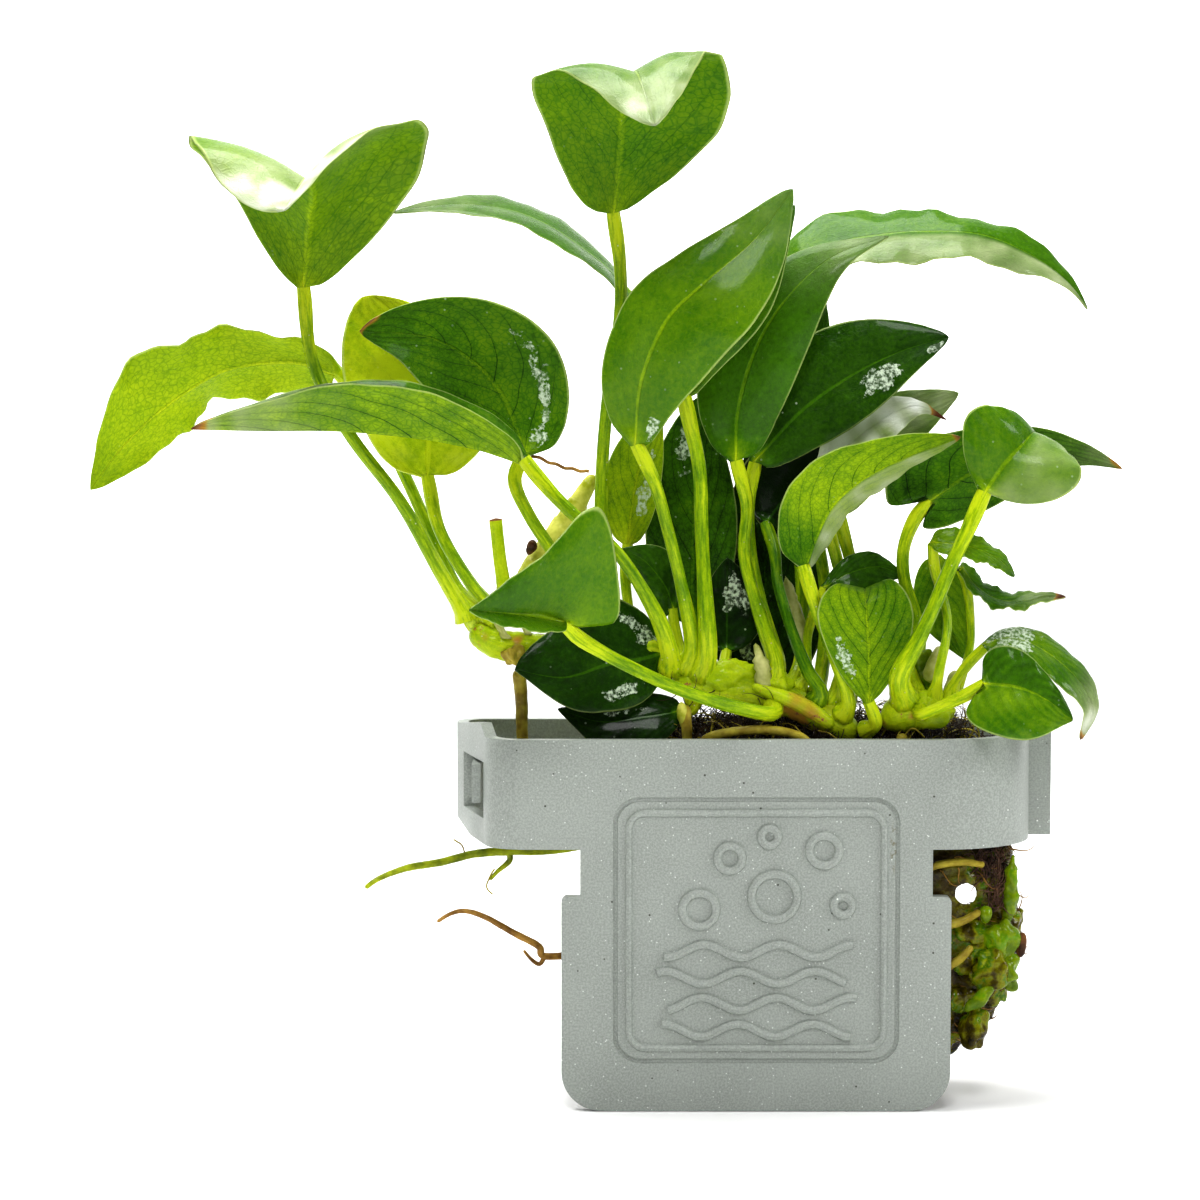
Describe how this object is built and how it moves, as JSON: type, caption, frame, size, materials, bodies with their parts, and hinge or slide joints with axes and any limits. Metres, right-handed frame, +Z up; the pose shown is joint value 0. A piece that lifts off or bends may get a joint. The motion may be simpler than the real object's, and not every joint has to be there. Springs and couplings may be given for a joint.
{
  "type": "anubias on stone",
  "caption": "Broad-leaved water plant whose creeping stem grows on a dark pitted stone, gripped in a grey moulded ring with a tag plate.",
  "frame": {"origin": "middle of the stone's flat underside", "axes": "+X to the right of the tag plate, +Y away from the tag's face, +Z up"},
  "size_m": [0.2111, 0.0805, 0.2115],
  "materials": {
    "holder_plastic": "matte moulded, grey, fine specks",
    "stone_dark": "rough, pitted, wet in places",
    "stem_green": "smooth, wet",
    "sheath_dry": "dry, thin, translucent",
    "root_yellow": "smooth, wet",
    "root_brown": "dull",
    "leaf_green": "glossy",
    "leaf_pale": "satin",
    "leaf_withered": "dry"
  },
  "bodies": {
    "root": {"holder": "holder_plastic", "stone": "stone_dark", "rhizome_main": "stem_green", "rhizome_left": "stem_green", "rhizome_right": "stem_green", "shoot_thick": "stem_green", "stalk_cut": "stem_green", "leaf_sheath": "sheath_dry", "root_into_ring": "root_yellow", "root_left_green": "root_yellow", "root_left_green_fork": "root_yellow", "root_left_brown": "root_brown", "root_left_brown_fork": "root_brown", "root_arch": "root_yellow", "root_pale": "root_yellow", "root_right_stub": "root_yellow", "root_stone_upper": "root_yellow", "root_stone_middle": "root_yellow", "root_stone_lower": "root_yellow", "leaf_high_left": "leaf_green", "leaf_high_centre": "leaf_green", "leaf_far_left": "leaf_pale", "leaf_left_long": "leaf_pale", "leaf_left_oval": "leaf_green", "leaf_left_back": "leaf_pale", "leaf_back_pale": "leaf_pale", "leaf_centre_glossy": "leaf_green", "leaf_centre_second": "leaf_green", "leaf_centre_right": "leaf_green", "leaf_right_dark": "leaf_green", "leaf_top_right": "leaf_green", "leaf_small_back": "leaf_green", "leaf_right_pale": "leaf_pale", "leaf_right_withered": "leaf_withered", "leaf_right_ribbon": "leaf_pale", "leaf_right_oval": "leaf_green", "leaf_right_bright": "leaf_pale", "leaf_right_curled": "leaf_pale", "leaf_right_twisted": "leaf_pale", "leaf_right_hanging": "leaf_green", "leaf_low_drooping": "leaf_pale", "leaf_low_front": "leaf_green", "leaf_heart_underside": "leaf_pale", "leaf_dark_right": "leaf_green", "leaf_front_left": "leaf_green", "leaf_dark_low_left": "leaf_green", "leaf_dark_lowest": "leaf_green", "leaf_inner_bright": "leaf_pale", "leaf_inner_dark": "leaf_green", "leaf_inner_small": "leaf_green", "leaf_inner_glossy": "leaf_green", "leaf_black_behind": "leaf_green", "leaf_behind_centre": "leaf_green"}
  },
  "joints": []
}
